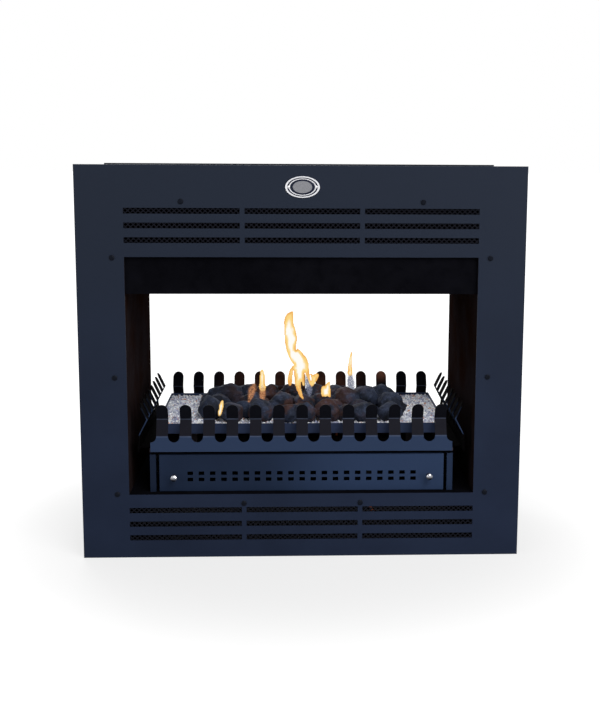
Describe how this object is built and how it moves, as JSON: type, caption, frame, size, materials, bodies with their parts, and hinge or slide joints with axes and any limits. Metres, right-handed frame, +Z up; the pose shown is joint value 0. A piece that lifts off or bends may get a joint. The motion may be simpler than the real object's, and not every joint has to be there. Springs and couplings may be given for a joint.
{
  "type": "double-sided built-in gas fireplace",
  "caption": "Double-sided built-in gas fireplace: slotted face frames round a see-through firebox, with a comb-fenced tray of coals on a perforated control pedestal.",
  "frame": {"origin": "middle of the footprint, on the surface that carries the fireplace", "axes": "+X to the right along the face seen from the front, +Y from the front face to the rear face, +Z up"},
  "size_m": [0.94, 0.436, 0.84],
  "materials": {
    "face_paint": "satin powder coat, very dark blue-grey",
    "dark_mesh": "black painted expanded metal",
    "dark_screw": "black dome head",
    "badge_silver": "polished rim with dark field, left bare",
    "casing_paint": "matt black powder coat",
    "firebox_black": "matt heat-resistant black, heat tinted",
    "pedestal_paint": "satin dark blue-black",
    "bright_knob": "polished",
    "bracket_steel": "plain steel",
    "magnet_ferrite": "ferrite",
    "fence_paint": "satin heat-resistant dark blue-black",
    "tray_paint": "satin heat-resistant dark blue-black",
    "burner_steel": "heat-tinted stainless",
    "granules": "pale mineral granules",
    "coal_ceramic": "dark ceramic coals, ash and rust tints",
    "valve_alloy": "die cast",
    "brass": "turned",
    "copper": "copper tube",
    "spindle_steel": "turned",
    "black_plastic": "moulded",
    "button_plastic": "red moulded",
    "white_ceramic": "unglazed",
    "lead_rubber": "silicone sleeve"
  },
  "bodies": {
    "fireplace": {"front_face_frame": "face_paint", "rear_face_frame": "face_paint", "front_upper_mesh": "dark_mesh", "front_lower_mesh": "dark_mesh", "rear_upper_mesh": "dark_mesh", "rear_lower_mesh": "dark_mesh", "front_frame_screws": "dark_screw", "rear_frame_screws": "dark_screw", "fence_bolts": "dark_screw", "badge_plate": "badge_silver", "badge_rivets": "badge_silver", "casing_left_side": "casing_paint", "casing_right_side": "casing_paint", "casing_top": "casing_paint", "casing_bottom": "casing_paint", "firebox_left_wall": "firebox_black", "firebox_right_wall": "firebox_black", "firebox_ceiling": "firebox_black", "upper_baffle": "firebox_black", "firebox_floor": "firebox_black", "front_lintel": "firebox_black", "rear_lintel": "firebox_black", "basket_base": "firebox_black", "catch_brackets": "firebox_black", "control_bracket": "firebox_black", "tray_legs": "firebox_black", "pedestal_left_side": "pedestal_paint", "pedestal_right_side": "pedestal_paint", "pedestal_top": "pedestal_paint", "front_cover_stop": "pedestal_paint", "rear_cover_stop": "pedestal_paint", "pilot_bracket": "bracket_steel", "catch_magnets": "magnet_ferrite", "front_fence": "fence_paint", "rear_fence": "fence_paint", "left_fence": "fence_paint", "right_fence": "fence_paint", "burner_tray": "tray_paint", "burner_bar": "burner_steel", "pilot_burner": "burner_steel", "granule_bed": "granules", "lower_coals": "coal_ceramic", "upper_coals": "coal_ceramic", "gas_valve": "valve_alloy", "gas_inlet": "brass", "injector": "brass", "supply_pipe": "copper", "burner_pipe": "copper", "pilot_pipe": "copper", "thermocouple": "copper", "igniter_body": "black_plastic", "electrode": "white_ceramic", "ignition_lead": "lead_rubber"},
    "front_cover": {"front_cover": "pedestal_paint", "front_cover_knobs": "bright_knob"},
    "rear_cover": {"rear_cover": "pedestal_paint", "rear_cover_knobs": "bright_knob"},
    "valve_spindle": {"valve_spindle": "spindle_steel"},
    "control_knob": {"control_knob": "black_plastic"},
    "igniter_button": {"igniter_button": "button_plastic"}
  },
  "joints": [
    {"name": "front_cover_pull", "type": "slide", "parent": "fireplace", "child": "front_cover", "axis": [0, -1, 0], "range_m": [0, 0.09]},
    {"name": "rear_cover_pull", "type": "slide", "parent": "fireplace", "child": "rear_cover", "axis": [0, 1, 0], "range_m": [0, 0.09]},
    {"name": "spindle_push", "type": "slide", "parent": "fireplace", "child": "valve_spindle", "axis": [0, 1, 0], "range_m": [0, 0.004], "stiffness_N_per_m": 1200},
    {"name": "knob_turn", "type": "hinge", "parent": "valve_spindle", "child": "control_knob", "pos_m": [0.15, -0.17, 0.183], "axis": [0, -1, 0], "range_deg": [0, 180]},
    {"name": "igniter_press", "type": "slide", "parent": "fireplace", "child": "igniter_button", "axis": [0, 1, 0], "range_m": [0, 0.008], "stiffness_N_per_m": 900}
  ]
}
